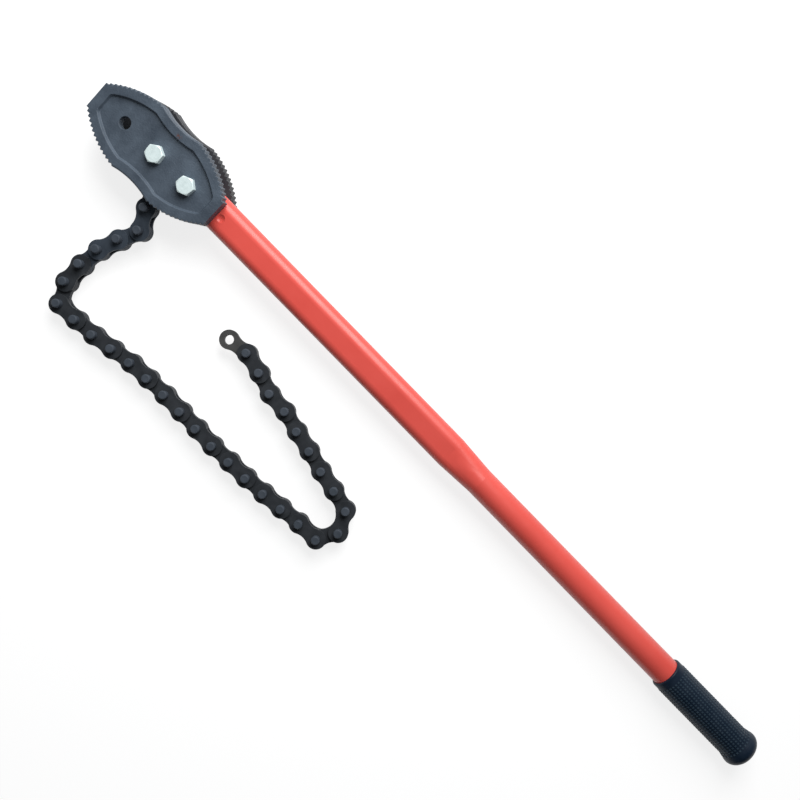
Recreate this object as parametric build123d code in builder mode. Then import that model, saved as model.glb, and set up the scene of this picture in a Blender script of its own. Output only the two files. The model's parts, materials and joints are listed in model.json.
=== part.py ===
"""Chain wrench for pipes and large filters: two toothed jaw plates bolted to a tubular handle.

A leaf chain is anchored on the middle bolt, between the plates. It wraps the work and one of its
pins hooks over the plates' waist. The wrench lies on a bench, on its nuts, its grip and its chain,
so the head leans towards the chain and the handle droops a little towards the grip.
Millimetres, +Z up from the bench, +X along the handle towards the grip. The origin is the middle
of the free hole in the jaws, half way between the two plates.
"""

import os
from math import atan2, cos, degrees, hypot, radians, sin

from build123d import *

os.makedirs("parts", exist_ok=True)

# How the wrench lies
jaw_roll = 9.7
handle_droop = 0.93

# Jaw plates
hole_spacing = 46.0
jaw_hole_radius = 6.75
jaw_gap = 22.5
jaw_thickness = 13.5
jaw_half_length = 86.5
jaw_end_half_width = 16.0
jaw_peak_x = 25.5
jaw_peak_half_width = 42.2
jaw_waist_half_width = 38.5
flank_bulge = 5.2
teeth_per_flank = 13
tooth_depth = 2.1
tooth_tip_flat = 0.5
rim_width = 10.5
recess_depth = 3.0
recess_draft = 30.0
recess_corner = 6.0
waist_edge_radius = 2.2

# Bolts, nuts and washers, M12
bolt_radius = 6.0
hex_across_flats = 18.0
bolt_head_height = 7.5
nut_height = 10.0
lock_washer_height = 2.5
lock_washer_radius = 10.5
lock_washer_slot = 2.0
hex_chamfer_inset = 0.4
hex_chamfer_angle = 60.0
bolt_short_of_nut = 0.3
bolt_clearance = 0.2
anchor_bolt_turn = 34.0
clamp_bolt_turn = 22.0
nut_turn = 13.0
spacer_radius = 10.0
spacer_play = 0.2

# Handle, with x measured from the free jaw hole
tube_diameter = 32.0
tube_wall = 3.0
flat_width = 37.8
tube_start = 74.0
flat_end = 488.0
round_start = 532.0
tube_end = 943.0
stake_x = 138.0
stake_radius = 7.0
stake_depth = 1.7
tang_shoulder = 68.0
tang_end = 184.0
tang_eye_radius = 13.0
tang_neck_half_width = 11.0
tang_clearance = 0.3

# Grip
grip_start = 822.0
grip_end = 955.5
grip_radius = 18.5
grip_flare_radius = 21.25
grip_flare_start = 930.0
grip_flare_x = 940.5
grip_lip_radius = 1.5
grip_bore_end = 944.0

# Chain
pitch = 25.4
anchor_pitch = 31.5
link_end_radius = 11.0
link_half_waist = 8.0
inner_link_thickness = 6.2
outer_plate_thickness = 3.2
side_play = 0.3
pin_radius = 4.8
pin_length = 31.0
anchor_pin_length = 19.0
bore_play = 0.08
anchor_eye_radius = 13.0
anchor_neck_half_width = 9.0
end_hole_radius = 5.3
easing_links = 9

# Headings of the links in degrees from +X, in the order in which the chain leaves the anchor bolt
out_of_the_jaws = (-65, -65, -62.5)
round_the_bend = (-113, -109.5, -95.5, -87, -62)
run_out = (2, 4.5, 9, 9, 3, 1.5, -0.5, -1.5, -2, 2.5, 1.5, 4, 5.5, 5.5, 3)
hairpin = (62, 117)
run_home = (166, 169, 166, 168, 166.5, 176.5, 162.5, 167.5, 188)
headings = out_of_the_jaws + round_the_bend + run_out + hairpin + run_home

# Heights in the head, from the middle plane between the plates
jaw_inner = jaw_gap / 2
jaw_outer = jaw_inner + jaw_thickness
recess_floor = jaw_outer - recess_depth
washer_bottom = recess_floor + lock_washer_height
nut_bottom = washer_bottom + nut_height
outer_plate_inner = inner_link_thickness / 2 + side_play
outer_plate_outer = outer_plate_inner + outer_plate_thickness
spacer_inner = outer_plate_outer + spacer_play
anchor_x = hole_spacing
clamp_x = 2 * hole_spacing
bolt_places = ((anchor_x, anchor_bolt_turn), (clamp_x, clamp_bolt_turn))

# The waist of a link is an arc that meets both of its round ends without a corner
waist_radius = (pitch**2 / 4 + link_half_waist**2 - link_end_radius**2) / (2 * (link_end_radius - link_half_waist))
waist_sine = pitch / 2 / (waist_radius + link_end_radius)
waist_cosine = (waist_radius + link_half_waist) / (waist_radius + link_end_radius)


def leaning(share, at):
    """A plane at a point that leans as the head does, by a share from 0 (flat on the bench) to 1."""
    along = Vector(1, 0, 0).rotate(Axis.Y, handle_droop * share)
    up = Vector(0, 0, 1).rotate(Axis.X, jaw_roll * share).rotate(Axis.Y, handle_droop * share)
    return Plane(origin=at, x_dir=along, z_dir=up)


head = leaning(1, (0, 0, 0))


def in_head(x, y=0.0, z=0.0):
    """A plane parallel to the jaw plates, at a place given in the head's own directions."""
    return leaning(1, head.from_local_coords(Vector(x, y, z)))


def across_handle(x):
    """A plane square to the handle's axis, with its own x across the flats."""
    return Plane(origin=in_head(x).origin, x_dir=head.y_dir, z_dir=head.x_dir)


def finish(piece, name):
    """Labels a finished piece and writes its file."""
    piece.part.label = name
    export_step(piece.part, f"parts/{name}.step")


# Jaw plates: forged, with a waist on each long side, four toothed flanks and a dished face
flank_x = jaw_half_length - jaw_peak_x
flank_y = jaw_peak_half_width - jaw_end_half_width
flank_chord = hypot(flank_x, flank_y)
flank_radius = (flank_chord**2 / 4 + flank_bulge**2) / (2 * flank_bulge)
flank_slope = atan2(flank_y, flank_x)
centre_drop = flank_radius - flank_bulge
waist_sag = jaw_peak_half_width - jaw_waist_half_width
waist_arc_radius = (jaw_peak_x**2 + waist_sag**2) / (2 * waist_sag)
flank_centre = (
    jaw_peak_x + flank_x / 2 - centre_drop * sin(flank_slope),
    jaw_end_half_width + flank_y / 2 - centre_drop * cos(flank_slope),
)
half_sweep = degrees(atan2(flank_chord / 2, centre_drop))
tooth_step = 2 * half_sweep / teeth_per_flank
notch_half_width = (flank_radius * radians(tooth_step) - tooth_tip_flat) / 2


with BuildSketch() as jaw_outline:
    with BuildLine():
        Line((-jaw_half_length, 0), (-jaw_half_length, jaw_end_half_width))
        SagittaArc(
            (-jaw_half_length, jaw_end_half_width), (-jaw_peak_x, jaw_peak_half_width), flank_bulge
        )
        ThreePointArc(
            (-jaw_peak_x, jaw_peak_half_width), (0, jaw_waist_half_width), (jaw_peak_x, jaw_peak_half_width)
        )
        SagittaArc((jaw_peak_x, jaw_peak_half_width), (jaw_half_length, jaw_end_half_width), flank_bulge)
        Line((jaw_half_length, jaw_end_half_width), (jaw_half_length, 0))
        Line((jaw_half_length, 0), (-jaw_half_length, 0))
    make_face()
    mirror(about=Plane.XZ)

with BuildSketch() as notches:
    first_notch = 90 - degrees(flank_slope) - half_sweep + tooth_step / 2
    last_notch = first_notch + (teeth_per_flank - 1) * tooth_step
    with Locations(flank_centre):
        with PolarLocations(flank_radius, teeth_per_flank, first_notch, last_notch - first_notch, endpoint=True):
            Polygon(
                (-tooth_depth, 0),
                (tooth_depth, 2 * notch_half_width),
                (tooth_depth, -2 * notch_half_width),
                align=None,
            )
    mirror(about=Plane.YZ)
    mirror(about=Plane.XZ)

with BuildPart() as front_jaw_plate:
    with BuildSketch(in_head(anchor_x, 0, jaw_inner)):
        add(jaw_outline.sketch)
    extrude(amount=jaw_thickness)
    for side in (-1, 1):
        waist_centre = in_head(anchor_x, side * (jaw_waist_half_width + waist_arc_radius)).origin
        with BuildSketch(Plane(origin=waist_centre, x_dir=head.y_dir * -side, z_dir=head.x_dir * -side)):
            with Locations((waist_arc_radius, jaw_outer), (waist_arc_radius, jaw_inner)):
                Rectangle(2 * waist_edge_radius, 2 * waist_edge_radius)
            with Locations((waist_arc_radius + waist_edge_radius, (jaw_outer + jaw_inner) / 2)):
                RectangleRounded(
                    2 * waist_edge_radius, jaw_thickness, waist_edge_radius - 0.01, mode=Mode.SUBTRACT
                )
                with Locations((waist_edge_radius, 0)):
                    Rectangle(2 * waist_edge_radius, jaw_thickness, mode=Mode.SUBTRACT)
        revolve(axis=Axis(waist_centre, head.z_dir), mode=Mode.SUBTRACT)
    with BuildSketch(in_head(anchor_x, 0, jaw_outer)):
        add(jaw_outline.sketch)
        offset(amount=-rim_width, kind=Kind.INTERSECTION)
        fillet(vertices(), recess_corner)
    extrude(amount=-recess_depth, taper=recess_draft, mode=Mode.SUBTRACT)
    with BuildSketch(in_head(anchor_x, 0, jaw_inner)):
        add(notches.sketch)
        with Locations((-hole_spacing, 0), (0, 0), (hole_spacing, 0)):
            Circle(jaw_hole_radius)
    extrude(amount=jaw_thickness, mode=Mode.SUBTRACT)
finish(front_jaw_plate, "front_jaw_plate")

with BuildPart() as rear_jaw_plate:
    add(front_jaw_plate.part.mirror(head))
finish(rear_jaw_plate, "rear_jaw_plate")

# Bolts, nuts and lock washers: two of each, the heads in the front dish and the nuts in the rear one
with BuildPart() as bolt:
    with BuildSketch(Plane.XY.offset(recess_floor)):
        RegularPolygon(hex_across_flats / 2, 6, major_radius=False)
    extrude(amount=bolt_head_height)
    with BuildSketch(Plane.XY.offset(recess_floor + bolt_head_height)):
        Circle(hex_across_flats / 2 - hex_chamfer_inset)
    extrude(amount=-bolt_head_height, taper=-hex_chamfer_angle, mode=Mode.INTERSECT)
    with BuildSketch(Plane.XY.offset(recess_floor)):
        Circle(bolt_radius)
    extrude(amount=bolt_short_of_nut - recess_floor - nut_bottom)

with BuildPart() as nut:
    with BuildSketch(Plane.XY.offset(-nut_bottom)):
        RegularPolygon(hex_across_flats / 2, 6, major_radius=False)
    extrude(amount=nut_height)
    with BuildSketch(Plane.XY.offset(-nut_bottom)):
        Circle(hex_across_flats / 2 - hex_chamfer_inset)
    extrude(amount=nut_height, taper=-hex_chamfer_angle, mode=Mode.INTERSECT)
    with BuildSketch(Plane.XY.offset(-nut_bottom)):
        Circle(bolt_radius)
    extrude(amount=nut_height, mode=Mode.SUBTRACT)

with BuildPart() as lock_washer:
    with BuildSketch(Plane.XY.offset(-washer_bottom)):
        Circle(lock_washer_radius)
        Circle(bolt_radius + bolt_clearance, mode=Mode.SUBTRACT)
        with Locations((lock_washer_radius / 2, 0)):
            Rectangle(lock_washer_radius, lock_washer_slot, mode=Mode.SUBTRACT)
    extrude(amount=lock_washer_height)

with BuildPart() as jaw_bolts:
    for bolt_x, turn in bolt_places:
        with Locations(in_head(bolt_x)):
            add(bolt.part, rotation=(0, 0, turn))
finish(jaw_bolts, "jaw_bolts")

with BuildPart() as jaw_nuts:
    for bolt_x, turn in bolt_places:
        with Locations(in_head(bolt_x)):
            add(nut.part, rotation=(0, 0, nut_turn - turn))
finish(jaw_nuts, "jaw_nuts")

with BuildPart() as lock_washers:
    for bolt_x, turn in bolt_places:
        with Locations(in_head(bolt_x)):
            add(lock_washer.part, rotation=(0, 0, -nut_turn - turn))
finish(lock_washers, "lock_washers")

with BuildPart() as anchor_spacers:
    for bottom in (spacer_inner, -jaw_inner):
        with BuildSketch(in_head(anchor_x, 0, bottom)):
            Circle(spacer_radius)
            Circle(bolt_radius + bolt_clearance, mode=Mode.SUBTRACT)
        extrude(amount=jaw_inner - spacer_inner)
finish(anchor_spacers, "anchor_spacers")

# Handle: a tube pressed flat to fill the gap between the plates, and left round towards the grip
bore_width = flat_width - 2 * tube_wall
bore_height = jaw_gap - 2 * tube_wall
stake_centre = jaw_inner + stake_radius - stake_depth

with BuildPart() as tube_bore:
    with BuildSketch(across_handle(tube_start)):
        SlotOverall(bore_width, bore_height)
    extrude(amount=flat_end - tube_start)
    with BuildSketch(across_handle(flat_end)):
        SlotOverall(bore_width, bore_height)
    with BuildSketch(across_handle(round_start)):
        Circle(tube_diameter / 2 - tube_wall)
    loft()
    with BuildSketch(across_handle(round_start)):
        Circle(tube_diameter / 2 - tube_wall)
    extrude(amount=tube_end - round_start)
    for side in (-1, 1):
        with Locations(in_head(stake_x, 0, side * stake_centre)):
            Sphere(stake_radius + tube_wall, mode=Mode.SUBTRACT)

with BuildPart() as handle_tube:
    with BuildSketch(across_handle(tube_start)):
        SlotOverall(flat_width, jaw_gap)
    extrude(amount=flat_end - tube_start)
    with BuildSketch(across_handle(flat_end)):
        SlotOverall(flat_width, jaw_gap)
    with BuildSketch(across_handle(round_start)):
        Circle(tube_diameter / 2)
    loft()
    with BuildSketch(across_handle(round_start)):
        Circle(tube_diameter / 2)
    extrude(amount=tube_end - round_start)
    add(tube_bore.part, mode=Mode.SUBTRACT)
    with BuildSketch(in_head(clamp_x, 0, -jaw_inner)):
        Circle(bolt_radius + bolt_clearance)
    extrude(amount=jaw_gap, mode=Mode.SUBTRACT)
    for side in (-1, 1):
        with Locations(in_head(stake_x, 0, side * stake_centre)):
            Sphere(stake_radius, mode=Mode.SUBTRACT)
finish(handle_tube, "handle_tube")

with BuildPart() as handle_tang:
    with BuildSketch(across_handle(tang_shoulder)):
        SlotOverall(bore_width - tang_clearance, bore_height - tang_clearance)
    extrude(amount=tang_end - tang_shoulder)
    for side in (-1, 1):
        with Locations(in_head(stake_x, 0, side * stake_centre)):
            Sphere(stake_radius + tube_wall, mode=Mode.SUBTRACT)
    with BuildSketch(in_head(anchor_x, 0, -inner_link_thickness / 2)):
        Circle(tang_eye_radius)
        with Locations(((tang_shoulder - anchor_x) / 2, 0)):
            Rectangle(tang_shoulder - anchor_x, 2 * tang_neck_half_width)
    extrude(amount=inner_link_thickness)
    with BuildSketch(in_head(anchor_x, 0, -jaw_inner)):
        with Locations((0, 0), (clamp_x - anchor_x, 0)):
            Circle(bolt_radius + bolt_clearance)
    extrude(amount=jaw_gap, mode=Mode.SUBTRACT)
finish(handle_tang, "handle_tang")

with BuildPart() as grip:
    with BuildSketch(head):
        with BuildLine():
            Polyline(
                (grip_end, 0),
                (grip_bore_end, 0),
                (grip_bore_end, tube_diameter / 2),
                (grip_start, tube_diameter / 2),
                (grip_start, grip_radius - grip_lip_radius),
            )
            RadiusArc(
                (grip_start, grip_radius - grip_lip_radius),
                (grip_start + grip_lip_radius, grip_radius),
                grip_lip_radius,
            )
            Line((grip_start + grip_lip_radius, grip_radius), (grip_flare_start, grip_radius))
            Spline(
                (grip_flare_start, grip_radius),
                (grip_flare_x, grip_flare_radius),
                (grip_end, 0),
                tangents=((1, 0), (1, 0), (0, -1)),
            )
        make_face()
    revolve(axis=Axis(head.origin, head.x_dir))
finish(grip, "grip")

# Chain: each link lies in a plane of its own, leaning less and less until the chain is on the bench
with BuildSketch() as link_outline:
    waist_x = pitch / 2 - link_end_radius * waist_sine
    waist_y = link_end_radius * waist_cosine
    with BuildLine():
        ThreePointArc((waist_x, waist_y), (0, link_half_waist), (-waist_x, waist_y))
        ThreePointArc((-waist_x, waist_y), (-pitch / 2 - link_end_radius, 0), (-waist_x, -waist_y))
        ThreePointArc((-waist_x, -waist_y), (0, -link_half_waist), (waist_x, -waist_y))
        ThreePointArc((waist_x, -waist_y), (pitch / 2 + link_end_radius, 0), (waist_x, waist_y))
    make_face()

with BuildSketch() as anchor_outline:
    Circle(anchor_eye_radius)
    with Locations((anchor_pitch, 0)):
        Circle(link_end_radius)
    with Locations((anchor_pitch / 2, 0)):
        Rectangle(anchor_pitch, 2 * anchor_neck_half_width)

joint = in_head(anchor_x).origin
for number, heading in enumerate(headings):
    lean = leaning(max(0.0, 1 - number / easing_links), joint)
    ahead = lean.x_dir * cos(radians(heading)) + lean.y_dir * sin(radians(heading))
    plane = Plane(origin=joint, x_dir=ahead, z_dir=lean.z_dir)
    length = pitch if number else anchor_pitch
    if number % 2:
        with BuildPart() as inner_link:
            with BuildSketch(plane):
                with Locations((pitch / 2, 0)):
                    add(link_outline.sketch)
                Circle(pin_radius + bore_play, mode=Mode.SUBTRACT)
                with Locations((pitch, 0)):
                    far_radius = pin_radius + bore_play if number < len(headings) - 1 else end_hole_radius
                    Circle(far_radius, mode=Mode.SUBTRACT)
            extrude(amount=inner_link_thickness / 2, both=True)
        finish(inner_link, f"link_{number:02d}_inner" if number < len(headings) - 1 else "link_33_end")
    else:
        with BuildPart() as outer_plates:
            for bottom in (outer_plate_inner, -outer_plate_outer):
                with BuildSketch(plane.offset(bottom)):
                    if number:
                        with Locations((pitch / 2, 0)):
                            add(link_outline.sketch)
                        Circle(pin_radius, mode=Mode.SUBTRACT)
                    else:
                        add(anchor_outline.sketch)
                        Circle(bolt_radius + bore_play, mode=Mode.SUBTRACT)
                    with Locations((length, 0)):
                        Circle(pin_radius, mode=Mode.SUBTRACT)
                extrude(amount=outer_plate_thickness)
        finish(outer_plates, f"link_{number:02d}_plates" if number else "anchor_plates")
        pin_places = ((0, 0), (pitch, 0)) if number else ((anchor_pitch, 0),)
        pin_half_length = (pin_length if number else anchor_pin_length) / 2
        with BuildPart() as pins:
            with BuildSketch(plane):
                with Locations(*pin_places):
                    Circle(pin_radius)
            extrude(amount=pin_half_length, both=True)
        finish(pins, f"link_{number:02d}_pins" if number else "anchor_pin")
    joint = joint + ahead * length
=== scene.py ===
"""A long chain wrench for pipes and large filters, lying on a pale bench, seen from straight above."""

import json
import math

import bmesh
import bpy
from mathutils import Matrix, Vector

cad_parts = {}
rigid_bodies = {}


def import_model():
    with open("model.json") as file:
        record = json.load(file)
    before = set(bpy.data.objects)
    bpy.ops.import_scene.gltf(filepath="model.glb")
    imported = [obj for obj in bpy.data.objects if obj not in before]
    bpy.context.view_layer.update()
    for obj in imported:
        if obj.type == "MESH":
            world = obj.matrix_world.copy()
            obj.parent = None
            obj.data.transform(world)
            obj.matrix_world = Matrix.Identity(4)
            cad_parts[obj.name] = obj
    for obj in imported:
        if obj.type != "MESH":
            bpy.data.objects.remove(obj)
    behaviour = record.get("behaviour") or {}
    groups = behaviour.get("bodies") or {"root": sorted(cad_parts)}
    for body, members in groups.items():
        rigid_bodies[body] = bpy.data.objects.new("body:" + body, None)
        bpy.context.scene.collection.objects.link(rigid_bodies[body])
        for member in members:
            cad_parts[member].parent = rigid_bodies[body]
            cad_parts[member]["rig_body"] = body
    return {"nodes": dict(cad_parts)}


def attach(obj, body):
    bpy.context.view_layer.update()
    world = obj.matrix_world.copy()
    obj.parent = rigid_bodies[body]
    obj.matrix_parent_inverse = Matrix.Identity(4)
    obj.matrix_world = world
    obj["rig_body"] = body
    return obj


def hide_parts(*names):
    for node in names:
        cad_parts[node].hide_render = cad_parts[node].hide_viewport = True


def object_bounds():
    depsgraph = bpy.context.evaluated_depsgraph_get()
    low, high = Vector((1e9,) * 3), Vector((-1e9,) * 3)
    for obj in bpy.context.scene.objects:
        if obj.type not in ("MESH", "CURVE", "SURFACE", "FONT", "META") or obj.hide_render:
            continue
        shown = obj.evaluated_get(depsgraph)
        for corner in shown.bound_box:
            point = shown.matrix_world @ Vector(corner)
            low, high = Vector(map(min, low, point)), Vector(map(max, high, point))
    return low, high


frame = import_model()
cad_low, cad_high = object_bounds()
nodes = frame["nodes"]

# Camera
# The picture is taken from straight above, a little less than a metre over the bench. The handle
# runs down to the right of the picture, and the spread of the view shows the sides of the jaws.
camera_place = Vector((0.40399, 0.00047, 0.90503))
camera_right = Vector((0.69819, 0.71589, 0.00328))
camera_up = Vector((-0.71587, 0.69819, -0.00429))
camera_lens = 37.917
camera_film = 36

camera_data = bpy.data.cameras.new("camera")
camera_data.sensor_width = camera_film
camera_data.lens = camera_lens
camera = bpy.data.objects.new("camera", camera_data)
bpy.context.scene.collection.objects.link(camera)
camera_back = camera_right.cross(camera_up).normalized()
camera_up = camera_back.cross(camera_right).normalized()
camera_turn = Matrix((camera_right, camera_up, camera_back)).transposed()
camera.matrix_world = Matrix.Translation(camera_place) @ camera_turn.to_4x4()
bpy.context.scene.camera = camera

# Bench and light
# The bench is a plain board that the camera and every reflection see as white, and it keeps a pale
# shadow. One soft box stands beyond the handle, towards the jaws, in a room with pale walls, a dim
# ceiling and a dim near side, so flat black steel stays black and rounded edges shine.
bench_size = 8.0
bench_grey = (0.30, 0.30, 0.30, 1)
bench_roughness = 0.9
bench_glow = 0.80
wall_top = 0.05
ceiling_height = 0.45
ceiling_strength = 0.08
side_blend = 0.35
near_wall_strength = 0.06
room_strength = 0.20
room_tint = (0.96, 0.98, 1.0, 1)
key_power = 23.0
key_size = 1.0
key_place = Vector((0.0, 0.78, 0.88))
key_target = Vector((0.05, -0.10, 0))


def feed(tree, socket, value):
    """Joins a node's output to a socket, or gives the socket a plain value."""
    if isinstance(value, bpy.types.NodeSocket):
        tree.links.new(value, socket)
    else:
        socket.default_value = value


def math_node(tree, operation, first, second):
    """A Math node on two numbers or outputs. Returns its output."""
    node = tree.nodes.new("ShaderNodeMath")
    node.operation = operation
    feed(tree, node.inputs[0], first)
    feed(tree, node.inputs[1], second)
    return node.outputs[0]


def range_node(tree, value, span, new_span=(0.0, 1.0)):
    """Maps an output from one span of numbers to another, clamped. Returns the result."""
    node = tree.nodes.new("ShaderNodeMapRange")
    node.clamp = True
    feed(tree, node.inputs["Value"], value)
    for name, number in zip(("From Min", "From Max", "To Min", "To Max"), span + new_span):
        feed(tree, node.inputs[name], number)
    return node.outputs["Result"]


def new_material(name):
    """A material with an empty node tree, its output and a Principled shader joined to it."""
    material = bpy.data.materials.new(name)
    material.use_nodes = True
    tree = material.node_tree
    tree.nodes.clear()
    output = tree.nodes.new("ShaderNodeOutputMaterial")
    shader = tree.nodes.new("ShaderNodeBsdfPrincipled")
    tree.links.new(shader.outputs["BSDF"], output.inputs["Surface"])
    return material, tree, shader


bench_mesh = bpy.data.meshes.new("bench")
half = bench_size / 2
corners = [(-half, -half), (half, -half), (half, half), (-half, half)]
bench_corners = [(x + camera_place.x, y, cad_low[2]) for x, y in corners]
bench_mesh.from_pydata(bench_corners, [], [(0, 1, 2, 3)])
bench = bpy.data.objects.new("bench", bench_mesh)
bpy.context.scene.collection.objects.link(bench)
bench_paint, tree, shader = new_material("bench white")
path = tree.nodes.new("ShaderNodeLightPath")
seen = math_node(tree, "ADD", path.outputs["Is Camera Ray"], path.outputs["Is Glossy Ray"])
seen = math_node(tree, "ADD", seen, path.outputs["Is Transmission Ray"])
seen = math_node(tree, "MINIMUM", seen, 1.0)
feed(tree, shader.inputs["Base Color"], bench_grey)
feed(tree, shader.inputs["Roughness"], bench_roughness)
feed(tree, shader.inputs["Specular IOR Level"], 0.0)
feed(tree, shader.inputs["Emission Color"], (1, 1, 1, 1))
feed(tree, shader.inputs["Emission Strength"], math_node(tree, "MULTIPLY", seen, bench_glow))
bench_paint.cycles.emission_sampling = "NONE"
bench_mesh.materials.append(bench_paint)

world = bpy.data.worlds.new("room")
bpy.context.scene.world = world
world.use_nodes = True
tree = world.node_tree
backdrop = tree.nodes["Background"]
way = tree.nodes.new("ShaderNodeSeparateXYZ")
feed(tree, way.inputs[0], tree.nodes.new("ShaderNodeTexCoord").outputs["Generated"])
path = tree.nodes.new("ShaderNodeLightPath")
walls = range_node(tree, way.outputs["Z"], (wall_top, ceiling_height), (1.0, ceiling_strength))
sides = range_node(tree, way.outputs["Y"], (-side_blend, side_blend), (near_wall_strength, 1.0))
in_view = math_node(tree, "MAXIMUM", path.outputs["Is Camera Ray"], path.outputs["Is Transmission Ray"])
in_mirror = path.outputs["Is Glossy Ray"]
in_neither = math_node(tree, "SUBTRACT", 1.0, math_node(tree, "MAXIMUM", in_mirror, in_view))
mirrored = math_node(tree, "MULTIPLY", in_mirror, math_node(tree, "MULTIPLY", walls, sides))
soft = math_node(tree, "MULTIPLY", in_neither, room_strength)
strength = math_node(tree, "ADD", math_node(tree, "ADD", in_view, mirrored), soft)
feed(tree, backdrop.inputs["Color"], room_tint)
feed(tree, backdrop.inputs["Strength"], strength)

key_light = bpy.data.lights.new("soft box", "AREA")
key_light.size = key_size
key_light.energy = key_power
key_lamp = bpy.data.objects.new("soft box", key_light)
bpy.context.scene.collection.objects.link(key_lamp)
key_turn = (key_target - key_place).to_track_quat("-Z", "Y")
key_lamp.matrix_world = Matrix.Translation(key_place) @ key_turn.to_matrix().to_4x4()
bpy.context.scene.view_settings.view_transform = "Standard"

# Jaw plates
# Two forged plates of alloy steel with four toothed flanks, phosphated to a matt slate grey and worn
# paler along edges and teeth. The rear one's colours are darkened as painted shade, standing for the
# shade of the front plate over it, and the front one has a fleck of rust on its upper waist.
front_slate = (0.079, 0.105, 0.138, 1)
front_dark = (0.044, 0.060, 0.082, 1)
front_worn = (0.135, 0.170, 0.215, 1)
# Painted shade: the rear plate's colours are made darker to stand for the front plate's shade on it.
rear_shaded_slate = (0.029, 0.031, 0.037, 1)
rear_shaded_dark = (0.019, 0.020, 0.024, 1)
rear_shaded_worn = (0.060, 0.068, 0.080, 1)
plate_roughness = (0.46, 0.58)
plate_grain_scale = 1300
plate_patch_scale = 42
plate_grain_strength = 0.85
plate_grain_depth = 0.0003
plate_edge_width = 0.0009
plate_edge_breakup = 420
worn_share = 0.7
rust_brown = (0.110, 0.035, 0.020, 1)
rust_place = (0.0530, 0.0265, 0.0300)
rust_radius = 0.0042
rust_core = 0.3 * rust_radius
rust_scale = 420
rust_span = (0.46, 0.56)
edge_samples = 6
edge_span = (0.985, 0.86)
edge_breakup_span = (0.36, 0.60)
edge_breakup_share = (0.25, 1.0)
grain_pit_spacing = 0.45
grain_fine_share = 0.7
grain_pit_share = 0.6
grain_patch_span = (0.32, 0.68)


def value_socket(group, name, kind="INPUT", socket="NodeSocketFloat"):
    """A named socket on a node group."""
    group.interface.new_socket(name=name, in_out=kind, socket_type=socket)


def noise_node(tree, vector, scale, detail=4.0, roughness=0.55):
    """A noise texture read at a vector. Returns its value."""
    node = tree.nodes.new("ShaderNodeTexNoise")
    feed(tree, node.inputs["Vector"], vector)
    feed(tree, node.inputs["Scale"], scale)
    feed(tree, node.inputs["Detail"], detail)
    feed(tree, node.inputs["Roughness"], roughness)
    return node.outputs["Fac"]


def mix_colour(tree, factor, first, second):
    """A mix of two colours by an output. Returns its colour."""
    node = tree.nodes.new("ShaderNodeMix")
    node.data_type = "RGBA"
    feed(tree, node.inputs["Factor"], factor)
    for name, colour in (("A", first), ("B", second)):
        feed(tree, [s for s in node.inputs if s.name == name and s.type == "RGBA"][0], colour)
    return [s for s in node.outputs if s.type == "RGBA"][0]


def bump_node(tree, height, strength, depth, normal=None):
    """A Bump node on a height, over a normal if one is given. Returns its normal."""
    node = tree.nodes.new("ShaderNodeBump")
    feed(tree, node.inputs["Strength"], strength)
    feed(tree, node.inputs["Distance"], depth)
    feed(tree, node.inputs["Height"], height)
    if normal is not None:
        feed(tree, node.inputs["Normal"], normal)
    return node.outputs["Normal"]


def object_place(tree):
    """The place on the object, in metres."""
    return tree.nodes.new("ShaderNodeTexCoord").outputs["Object"]


def grouped(tree, group, **values):
    """A node group placed in a tree, with numbers or outputs for its inputs."""
    node = tree.nodes.new("ShaderNodeGroup")
    node.node_tree = group
    for name, value in values.items():
        feed(tree, node.inputs[name.replace("_", " ")], value)
    return node


def dress(node_name, material):
    """Gives a CAD node its material."""
    mesh = nodes[node_name].data
    mesh.materials.clear()
    mesh.materials.append(material)


# Worn edges: a mask that is 1 on corners, broken up by noise, and a normal that rounds them
edge_wear = bpy.data.node_groups.new("worn edges", "ShaderNodeTree")
value_socket(edge_wear, "Vector", socket="NodeSocketVector")
value_socket(edge_wear, "Width")
value_socket(edge_wear, "Breakup Scale")
value_socket(edge_wear, "Mask", "OUTPUT")
value_socket(edge_wear, "Normal", "OUTPUT", "NodeSocketVector")
given = edge_wear.nodes.new("NodeGroupInput").outputs
made = edge_wear.nodes.new("NodeGroupOutput").inputs
rounded = edge_wear.nodes.new("ShaderNodeBevel")
rounded.samples = edge_samples
feed(edge_wear, rounded.inputs["Radius"], given["Width"])
surface = edge_wear.nodes.new("ShaderNodeNewGeometry")
likeness = edge_wear.nodes.new("ShaderNodeVectorMath")
likeness.operation = "DOT_PRODUCT"
feed(edge_wear, likeness.inputs[0], rounded.outputs["Normal"])
feed(edge_wear, likeness.inputs[1], surface.outputs["Normal"])
near_edge = range_node(edge_wear, likeness.outputs["Value"], edge_span)
breakup = noise_node(edge_wear, given["Vector"], given["Breakup Scale"], detail=5.0, roughness=0.65)
breakup = range_node(edge_wear, breakup, edge_breakup_span, edge_breakup_share)
feed(edge_wear, made["Mask"], math_node(edge_wear, "MULTIPLY", near_edge, breakup))
feed(edge_wear, made["Normal"], rounded.outputs["Normal"])

# Forged grain: a fine uneven height, and broad cloudy patches for the colour
forged_grain = bpy.data.node_groups.new("forged grain", "ShaderNodeTree")
value_socket(forged_grain, "Vector", socket="NodeSocketVector")
value_socket(forged_grain, "Grain Scale")
value_socket(forged_grain, "Patch Scale")
value_socket(forged_grain, "Height", "OUTPUT")
value_socket(forged_grain, "Patches", "OUTPUT")
given = forged_grain.nodes.new("NodeGroupInput").outputs
made = forged_grain.nodes.new("NodeGroupOutput").inputs
fine = noise_node(forged_grain, given["Vector"], given["Grain Scale"], detail=3.0, roughness=0.7)
pits = forged_grain.nodes.new("ShaderNodeTexVoronoi")
pits.feature = "SMOOTH_F1"
feed(forged_grain, pits.inputs["Vector"], given["Vector"])
pit_scale = math_node(forged_grain, "MULTIPLY", given["Grain Scale"], grain_pit_spacing)
feed(forged_grain, pits.inputs["Scale"], pit_scale)
fine_height = math_node(forged_grain, "MULTIPLY", fine, grain_fine_share)
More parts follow.
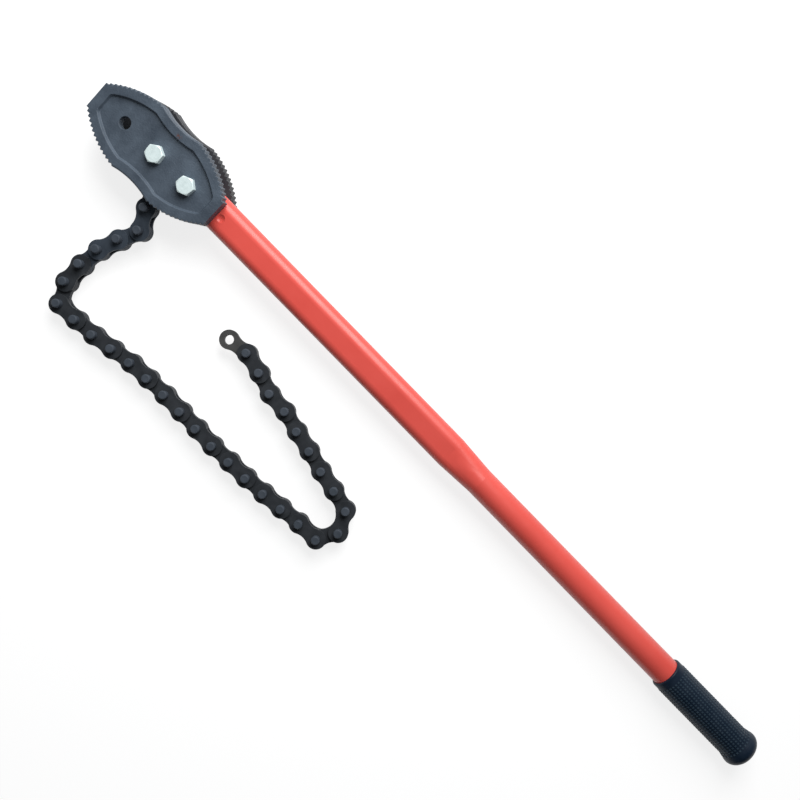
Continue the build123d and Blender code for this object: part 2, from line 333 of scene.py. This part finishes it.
pit_height = math_node(forged_grain, "MULTIPLY", pits.outputs["Distance"], grain_pit_share)
feed(forged_grain, made["Height"], math_node(forged_grain, "ADD", fine_height, pit_height))
patches = noise_node(forged_grain, given["Vector"], given["Patch Scale"], detail=5.0, roughness=0.6)
feed(forged_grain, made["Patches"], range_node(forged_grain, patches, grain_patch_span))

for name, material_name, slate, dark, worn in (
    ("front_jaw_plate", "phosphated forging", front_slate, front_dark, front_worn),
    # Painted shade: the rear plate's material is darkened to stand for the front plate's shade on it.
    ("rear_jaw_plate", "rear forging with painted shade", rear_shaded_slate, rear_shaded_dark, rear_shaded_worn),
):
    plate_steel, tree, shader = new_material(material_name)
    place = object_place(tree)
    grain = grouped(
        tree, forged_grain, Vector=place, Grain_Scale=plate_grain_scale, Patch_Scale=plate_patch_scale
    )
    wear = grouped(
        tree, edge_wear, Vector=place, Width=plate_edge_width, Breakup_Scale=plate_edge_breakup
    )
    rust_gap = tree.nodes.new("ShaderNodeVectorMath")
    rust_gap.operation = "DISTANCE"
    feed(tree, rust_gap.inputs[0], place)
    feed(tree, rust_gap.inputs[1], rust_place)
    rust_near = range_node(tree, rust_gap.outputs["Value"], (rust_radius, rust_core))
    rust_fleck = noise_node(tree, place, rust_scale, roughness=0.6)
    rust_mask = math_node(tree, "MULTIPLY", rust_near, range_node(tree, rust_fleck, rust_span))
    worn_mask = math_node(tree, "MULTIPLY", wear.outputs["Mask"], worn_share)
    colour = mix_colour(tree, grain.outputs["Patches"], dark, slate)
    colour = mix_colour(tree, worn_mask, colour, worn)
    colour = mix_colour(tree, rust_mask, colour, rust_brown)
    roughness = range_node(tree, grain.outputs["Patches"], (0.0, 1.0), plate_roughness)
    normal = bump_node(
        tree, grain.outputs["Height"], plate_grain_strength, plate_grain_depth, wear.outputs["Normal"]
    )
    feed(tree, shader.inputs["Base Color"], colour)
    feed(tree, shader.inputs["Roughness"], roughness)
    feed(tree, shader.inputs["Normal"], normal)
    dress(name, plate_steel)

# Bolts, nuts and lock washers
# M12 hexagon bolts from the front, each with a split washer and a nut in the rear dish. They are
# bright zinc plated, faintly green, with a dull mottle where the plating has aged.
zinc_bright = (0.84, 0.97, 0.97, 1)
zinc_dull = (0.66, 0.78, 0.78, 1)
zinc_rubbed = (0.88, 0.95, 0.92, 1)
zinc_roughness = (0.28, 0.46)
zinc_metallic = 0.15
zinc_mottle_scale = 260
zinc_mottle_span = (0.42, 0.70)
zinc_grain_scale = 900
zinc_grain_strength = 0.15
zinc_grain_depth = 0.0002
bolt_edge_width = 0.0006
bolt_edge_breakup = 500

zinc_plate, tree, shader = new_material("bright zinc")
place = object_place(tree)
wear = grouped(tree, edge_wear, Vector=place, Width=bolt_edge_width, Breakup_Scale=bolt_edge_breakup)
mottle = noise_node(tree, place, zinc_mottle_scale, detail=6.0, roughness=0.7)
mottle = range_node(tree, mottle, zinc_mottle_span)
colour = mix_colour(tree, mottle, zinc_bright, zinc_dull)
colour = mix_colour(tree, wear.outputs["Mask"], colour, zinc_rubbed)
height = noise_node(tree, place, zinc_grain_scale)
normal = bump_node(tree, height, zinc_grain_strength, zinc_grain_depth, wear.outputs["Normal"])
feed(tree, shader.inputs["Base Color"], colour)
feed(tree, shader.inputs["Roughness"], range_node(tree, mottle, (0.0, 1.0), zinc_roughness))
feed(tree, shader.inputs["Metallic"], zinc_metallic)
feed(tree, shader.inputs["Normal"], normal)
for name in ("jaw_bolts", "jaw_nuts", "lock_washers"):
    dress(name, zinc_plate)

# Handle tube
# Drawn steel tube, pressed flat where the jaws clamp it and left round towards the grip, and dipped
# in glossy red enamel. The enamel is slightly wavy and a little darker where it has run thin.
enamel_red = (0.80, 0.102, 0.080, 1)
enamel_deep = (0.70, 0.076, 0.058, 1)
enamel_roughness = (0.30, 0.38)
enamel_cloud_scale = 14
enamel_cloud_span = (0.35, 0.65)
enamel_cloud_share = 0.5
enamel_polish_scale = 60
enamel_polish_span = (0.3, 0.7)
enamel_wave_scale = 240
enamel_wave_strength = 0.10
enamel_wave_depth = 0.0006

red_enamel, tree, shader = new_material("red enamel")
place = object_place(tree)
cloud = range_node(tree, noise_node(tree, place, enamel_cloud_scale), enamel_cloud_span)
thin = math_node(tree, "MULTIPLY", cloud, enamel_cloud_share)
polish = noise_node(tree, place, enamel_polish_scale, detail=5.0, roughness=0.6)
polish = range_node(tree, polish, enamel_polish_span, enamel_roughness)
waves = noise_node(tree, place, enamel_wave_scale, detail=3.0, roughness=0.5)
normal = bump_node(tree, waves, enamel_wave_strength, enamel_wave_depth)
feed(tree, shader.inputs["Base Color"], mix_colour(tree, thin, enamel_red, enamel_deep))
feed(tree, shader.inputs["Roughness"], polish)
feed(tree, shader.inputs["Normal"], normal)
dress("handle_tube", red_enamel)

# Tang and spacers
# A bare steel bar fills the flattened tube and carries the chain's bolt in its eye. Two turned rings
# keep the chain in the middle of the gap. Both are mill finish, with brushed marks and a little oil.
mill_dark = (0.22, 0.22, 0.23, 1)
mill_pale = (0.36, 0.36, 0.37, 1)
mill_worn = (0.5, 0.5, 0.52, 1)
mill_roughness = (0.3, 0.5)
mill_metallic = 0.9
mill_brush_scale = (60, 900, 900)
mill_brush_span = (0.3, 0.7)
mill_brush_strength = 0.2
mill_brush_depth = 0.0002
tang_edge_width = 0.0005
tang_edge_breakup = 400

bare_steel, tree, shader = new_material("mill finish steel")
place = object_place(tree)
wear = grouped(tree, edge_wear, Vector=place, Width=tang_edge_width, Breakup_Scale=tang_edge_breakup)
brushed = tree.nodes.new("ShaderNodeMapping")
feed(tree, brushed.inputs["Scale"], mill_brush_scale)
feed(tree, brushed.inputs["Vector"], place)
marks = noise_node(tree, brushed.outputs["Vector"], 1.0, roughness=0.6)
normal = bump_node(tree, marks, mill_brush_strength, mill_brush_depth, wear.outputs["Normal"])
colour = mix_colour(tree, range_node(tree, marks, mill_brush_span), mill_dark, mill_pale)
colour = mix_colour(tree, wear.outputs["Mask"], colour, mill_worn)
feed(tree, shader.inputs["Base Color"], colour)
feed(tree, shader.inputs["Roughness"], range_node(tree, marks, mill_brush_span, mill_roughness))
feed(tree, shader.inputs["Metallic"], mill_metallic)
feed(tree, shader.inputs["Normal"], normal)
dress("handle_tang", bare_steel)
dress("anchor_spacers", bare_steel)

# Grip
# A black moulded sleeve pushed over the end of the tube. Rows of small raised squares, painted paler
# than the rest as a painted highlight, cover it from behind its smooth mouth up to the flare. Its
# rounded end is smooth.
grip_black = (0.006, 0.014, 0.029, 1)
grip_dusty = (0.014, 0.026, 0.045, 1)
# Painted highlight: the studs' colours are paler than the sleeve's to stand for light catching them; the
# dust mottle on them is real.
stud_highlight_black = (0.025, 0.044, 0.064, 1)
stud_highlight_dusty = (0.045, 0.070, 0.094, 1)
rubber_roughness = (0.38, 0.50)
rubber_shine = 0.22
rubber_dust_scale = 90
rubber_dust_span = (0.4, 0.7)
rubber_dust_share = 0.5
rubber_grain_scale = 1200
rubber_grain_strength = 0.2
rubber_grain_depth = 0.0002
handle_droop = math.radians(0.93)
grip_mouth = 0.8240
grip_lip = 0.0015
grip_lip_steps = 4
grip_radius = 0.0185
grip_bore_radius = 0.0161
grip_bore_end = 0.9440
grip_flare_start = 0.9290
grip_flare_end = 0.9410
grip_flare_radius = 0.02125
grip_flare_steps = 8
grip_cap_length = 0.0122
grip_cap_steps = 16
grip_sides = 96
grip_crease = math.radians(40)
stud_start = 0.8340
stud_pitch = 0.00342
stud_columns = 30
stud_rows = 30
stud_length = 0.0024
stud_width = 0.0026
stud_height = 0.0005
stud_top_share = 0.60
stud_reach = 0.030
same_point = 0.000002

rubbers = []
for name, clean, dusty in (
    ("black grip", grip_black, grip_dusty),
    # Painted highlight: the studs' material is paler than the sleeve's to stand for light catching them.
    ("rubbed studs", stud_highlight_black, stud_highlight_dusty),
):
    material, tree, shader = new_material(name)
    place = object_place(tree)
    dust = noise_node(tree, place, rubber_dust_scale, detail=5.0, roughness=0.6)
    dust = range_node(tree, dust, rubber_dust_span)
    dusted = math_node(tree, "MULTIPLY", dust, rubber_dust_share)
    height = noise_node(tree, place, rubber_grain_scale, detail=3.0)
    normal = bump_node(tree, height, rubber_grain_strength, rubber_grain_depth)
    feed(tree, shader.inputs["Base Color"], mix_colour(tree, dusted, clean, dusty))
    feed(tree, shader.inputs["Roughness"], range_node(tree, dust, (0.0, 1.0), rubber_roughness))
    feed(tree, shader.inputs["Specular IOR Level"], rubber_shine)
    feed(tree, shader.inputs["Normal"], normal)
    rubbers.append(material)

# The tree that sets the studs: a ray from each place around the axis finds the sleeve
studs = bpy.data.node_groups.new("studded sleeve", "GeometryNodeTree")
studs.interface.new_socket(name="Sleeve", in_out="INPUT", socket_type="NodeSocketGeometry")
stud_inputs = {}
for name, kind in (
    ("Start", "Float"),
    ("Pitch", "Float"),
    ("Columns", "Int"),
    ("Rows", "Int"),
    ("Stud Size", "Vector"),
    ("Top Share", "Float"),
    ("Droop", "Float"),
    ("Reach", "Float"),
    ("Rubber", "Material"),
    ("Stud Rubber", "Material"),
):
    socket = studs.interface.new_socket(name=name, in_out="INPUT", socket_type="NodeSocket" + kind)
    stud_inputs[name] = socket.identifier
studs.interface.new_socket(name="Geometry", in_out="OUTPUT", socket_type="NodeSocketGeometry")
given = studs.nodes.new("NodeGroupInput").outputs
made = studs.nodes.new("NodeGroupOutput").inputs


def stud_node(kind, operation=None, **inputs):
    """A node of the studs' tree. Its inputs have names, or a number after an underscore."""
    node = studs.nodes.new(kind)
    if operation:
        node.operation = operation
    for name, value in inputs.items():
        key = int(name[1:]) if name.startswith("_") else name.replace("_", " ")
        feed(studs, node.inputs[key], value)
    return node


def worked(operation, first, second=0.0):
    """A Math node of the studs' tree. Returns its output."""
    return math_node(studs, operation, first, second)


def drooped(vector):
    """A vector in the handle's own directions, turned to lie as the handle does."""
    node = stud_node("ShaderNodeVectorRotate", Vector=vector, Angle=given["Droop"])
    node.rotation_type = "Y_AXIS"
    return node.outputs["Vector"]


points = stud_node("GeometryNodePoints", Count=worked("MULTIPLY", given["Columns"], given["Rows"]))
index = studs.nodes.new("GeometryNodeInputIndex").outputs[0]
column = worked("FLOOR", worked("DIVIDE", index, given["Rows"]))
row = worked("MODULO", index, given["Rows"])
turn = worked("MULTIPLY", worked("DIVIDE", row, given["Rows"]), 2 * math.pi)
along = worked("ADD", worked("MULTIPLY", column, given["Pitch"]), given["Start"])
outward = stud_node("ShaderNodeCombineXYZ", Y=worked("COSINE", turn), Z=worked("SINE", turn)).outputs[0]
inward = stud_node("ShaderNodeVectorMath", "SCALE", _0=outward, Scale=-1.0).outputs[0]
on_axis = stud_node("ShaderNodeCombineXYZ", X=along).outputs[0]
ray_start = stud_node("ShaderNodeVectorMath", "SCALE", _0=outward, Scale=given["Reach"]).outputs[0]
ray_start = stud_node("ShaderNodeVectorMath", "ADD", _0=ray_start, _1=on_axis).outputs[0]
hit = stud_node(
    "GeometryNodeRaycast",
    Target_Geometry=given["Sleeve"],
    Source_Position=drooped(ray_start),
    Ray_Direction=drooped(inward),
    Ray_Length=given["Reach"],
)
on_sleeve = stud_node(
    "GeometryNodeSetPosition", Geometry=points.outputs[0], Position=hit.outputs["Hit Position"]
)

stud = stud_node("GeometryNodeMeshCube", Size=given["Stud Size"])
corner = studs.nodes.new("GeometryNodeInputPosition").outputs[0]
corner_height = stud_node("ShaderNodeSeparateXYZ", Vector=corner).outputs["Z"]
is_top = stud_node("FunctionNodeCompare", "GREATER_THAN", A=corner_height, B=0.0).outputs[0]
top_scale = stud_node("ShaderNodeCombineXYZ", X=given["Top Share"], Y=given["Top Share"], Z=1.0)
narrowed = stud_node("ShaderNodeVectorMath", "MULTIPLY", _0=corner, _1=top_scale.outputs[0])
stud = stud_node(
    "GeometryNodeSetPosition",
    Geometry=stud.outputs["Mesh"],
    Selection=is_top,
    Position=narrowed.outputs[0],
)

axis_way = stud_node("ShaderNodeCombineXYZ", X=1.0).outputs[0]
aligned = stud_node(
    "FunctionNodeAxesToRotation",
    Primary_Axis=hit.outputs["Hit Normal"],
    Secondary_Axis=drooped(axis_way),
)
aligned.primary_axis = "Z"
aligned.secondary_axis = "X"
placed = stud_node(
    "GeometryNodeInstanceOnPoints",
    Points=on_sleeve.outputs[0],
    Instance=stud.outputs[0],
    Rotation=aligned.outputs[0],
)
realised = stud_node("GeometryNodeRealizeInstances", Geometry=placed.outputs[0])
joined = studs.nodes.new("GeometryNodeJoinGeometry")
for part, rubber in (
    (realised.outputs[0], given["Stud Rubber"]),
    (given["Sleeve"], given["Rubber"]),
):
    painted = stud_node("GeometryNodeSetMaterial", Geometry=part, Material=rubber)
    feed(studs, joined.inputs[0], painted.outputs[0])
feed(studs, made[0], joined.outputs[0])

# The sleeve's outline from its bore round the lip and along to the cap, as distance and radius
profile = [(grip_bore_end, 0), (grip_bore_end, grip_bore_radius), (grip_mouth, grip_bore_radius)]
lip_along = grip_mouth + grip_lip
lip_radius = grip_radius - grip_lip
for step in range(grip_lip_steps + 1):
    angle = step / grip_lip_steps * math.pi / 2
    profile.append((lip_along - grip_lip * math.cos(angle), lip_radius + grip_lip * math.sin(angle)))
for step in range(grip_flare_steps + 1):
    share = step / grip_flare_steps
    swell = (3 * share**2 - 2 * share**3) * (grip_flare_radius - grip_radius)
    profile.append((grip_flare_start + share * (grip_flare_end - grip_flare_start), grip_radius + swell))
for step in range(1, grip_cap_steps + 1):
    angle = step / grip_cap_steps * math.pi / 2
    cap_along = grip_flare_end + grip_cap_length * math.sin(angle)
    profile.append((cap_along, grip_flare_radius * math.cos(angle)))

lathe = bmesh.new()
line = [lathe.verts.new((x, 0, r)) for x, r in profile]
edges = [lathe.edges.new(pair) for pair in zip(line, line[1:])]
bmesh.ops.spin(
    lathe,
    geom=line + edges,
    axis=(1, 0, 0),
    cent=(0, 0, 0),
    angle=2 * math.pi,
    steps=grip_sides,
    use_merge=True,
)
bmesh.ops.remove_doubles(lathe, verts=lathe.verts, dist=same_point)
bmesh.ops.rotate(lathe, verts=lathe.verts, matrix=Matrix.Rotation(handle_droop, 3, "Y"))
bmesh.ops.recalc_face_normals(lathe, faces=lathe.faces)
sleeve_mesh = bpy.data.meshes.new("grip_sleeve")
lathe.to_mesh(sleeve_mesh)
lathe.free()
sleeve_mesh.shade_smooth()
sleeve_mesh.set_sharp_from_angle(angle=grip_crease)
sleeve = bpy.data.objects.new("grip_sleeve", sleeve_mesh)
bpy.context.scene.collection.objects.link(sleeve)
modifier = sleeve.modifiers.new("studs", "NODES")
modifier.node_group = studs
for name, value in (
    ("Start", stud_start),
    ("Pitch", stud_pitch),
    ("Columns", stud_columns),
    ("Rows", stud_rows),
    ("Stud Size", (stud_length, stud_width, 2 * stud_height)),
    ("Top Share", stud_top_share),
    ("Droop", handle_droop),
    ("Reach", stud_reach),
    ("Rubber", rubbers[0]),
    ("Stud Rubber", rubbers[1]),
):
    modifier[stud_inputs[name]] = value
evaluated = sleeve.evaluated_get(bpy.context.evaluated_depsgraph_get())
studded_mesh = bpy.data.meshes.new_from_object(evaluated)
sleeve.modifiers.remove(modifier)
sleeve.data = studded_mesh
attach(sleeve, "handle")
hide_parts("grip")

# Chain
# Links stamped from spring steel, blued nearest the jaws and blackened with oil further on, with a
# bare, worn end link. They turn on hard pins with chamfered ends, which stand out on both sides.
blued_dark = (0.033, 0.042, 0.055, 1)
blued_pale = (0.047, 0.060, 0.078, 1)
blued_worn = (0.070, 0.088, 0.115, 1)
black_dark = (0.021, 0.024, 0.028, 1)
black_pale = (0.034, 0.038, 0.044, 1)
black_worn = (0.050, 0.055, 0.063, 1)
end_dark = (0.040, 0.041, 0.041, 1)
end_pale = (0.066, 0.066, 0.065, 1)
end_worn = (0.10, 0.10, 0.10, 1)
pin_dark = (0.042, 0.052, 0.066, 1)
pin_pale = (0.062, 0.074, 0.092, 1)
pin_worn = (0.11, 0.125, 0.15, 1)
chain_roughness = (0.46, 0.60)
chain_shine = 0.15
chain_grain_scale = 1600
chain_patch_scale = 75
chain_grain_strength = 0.25
chain_grain_depth = 0.0002
chain_edge_width = 0.0006
chain_edge_breakup = 520
blued_links = 6
pin_chamfer = 0.0009
pin_rim = math.radians(60)
pin_crease = math.radians(30)
flat_angle = math.radians(1)

chain_steels = {}
for kind, dark, pale, worn in (
    ("blued link", blued_dark, blued_pale, blued_worn),
    ("blackened link", black_dark, black_pale, black_worn),
    ("worn end link", end_dark, end_pale, end_worn),
    ("pin", pin_dark, pin_pale, pin_worn),
):
    material, tree, shader = new_material(kind + " steel")
    place = object_place(tree)
    grain = grouped(
        tree, forged_grain, Vector=place, Grain_Scale=chain_grain_scale, Patch_Scale=chain_patch_scale
    )
    wear = grouped(
        tree, edge_wear, Vector=place, Width=chain_edge_width, Breakup_Scale=chain_edge_breakup
    )
    worn_mask = math_node(tree, "MULTIPLY", wear.outputs["Mask"], worn_share)
    colour = mix_colour(tree, grain.outputs["Patches"], dark, pale)
    colour = mix_colour(tree, worn_mask, colour, worn)
    roughness = range_node(tree, grain.outputs["Patches"], (0.0, 1.0), chain_roughness)
    normal = bump_node(
        tree, grain.outputs["Height"], chain_grain_strength, chain_grain_depth, wear.outputs["Normal"]
    )
    feed(tree, shader.inputs["Base Color"], colour)
    feed(tree, shader.inputs["Roughness"], roughness)
    feed(tree, shader.inputs["Specular IOR Level"], chain_shine)
    feed(tree, shader.inputs["Normal"], normal)
    chain_steels[kind] = material


def chamfered_pins(node_name):
    """Stands in for a node of pins, with the sharp rims of its pins chamfered."""
    shape = bmesh.new()
    shape.from_mesh(nodes[node_name].data)
    bmesh.ops.remove_doubles(shape, verts=shape.verts, dist=same_point)
    bmesh.ops.dissolve_limit(shape, angle_limit=flat_angle, verts=shape.verts, edges=shape.edges)
    rims = [edge for edge in shape.edges if edge.calc_face_angle(0) > pin_rim]
    bmesh.ops.bevel(shape, geom=rims, offset=pin_chamfer, segments=1, affect="EDGES")
    mesh = bpy.data.meshes.new(node_name + "_chamfered")
    shape.to_mesh(mesh)
    shape.free()
    mesh.shade_smooth()
    mesh.set_sharp_from_angle(angle=pin_crease)
    mesh.materials.append(chain_steels["pin"])
    pins = bpy.data.objects.new(mesh.name, mesh)
    bpy.context.scene.collection.objects.link(pins)
    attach(pins, nodes[node_name]["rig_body"])
    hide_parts(node_name)


for name in list(nodes):
    if name.endswith("pins") or name == "anchor_pin":
        chamfered_pins(name)
    elif name == "link_33_end":
        dress(name, chain_steels["worn end link"])
    elif name.startswith("link") or name == "anchor_plates":
        number = 0 if name == "anchor_plates" else int(name[5:7])
        dress(name, chain_steels["blued link" if number < blued_links else "blackened link"])
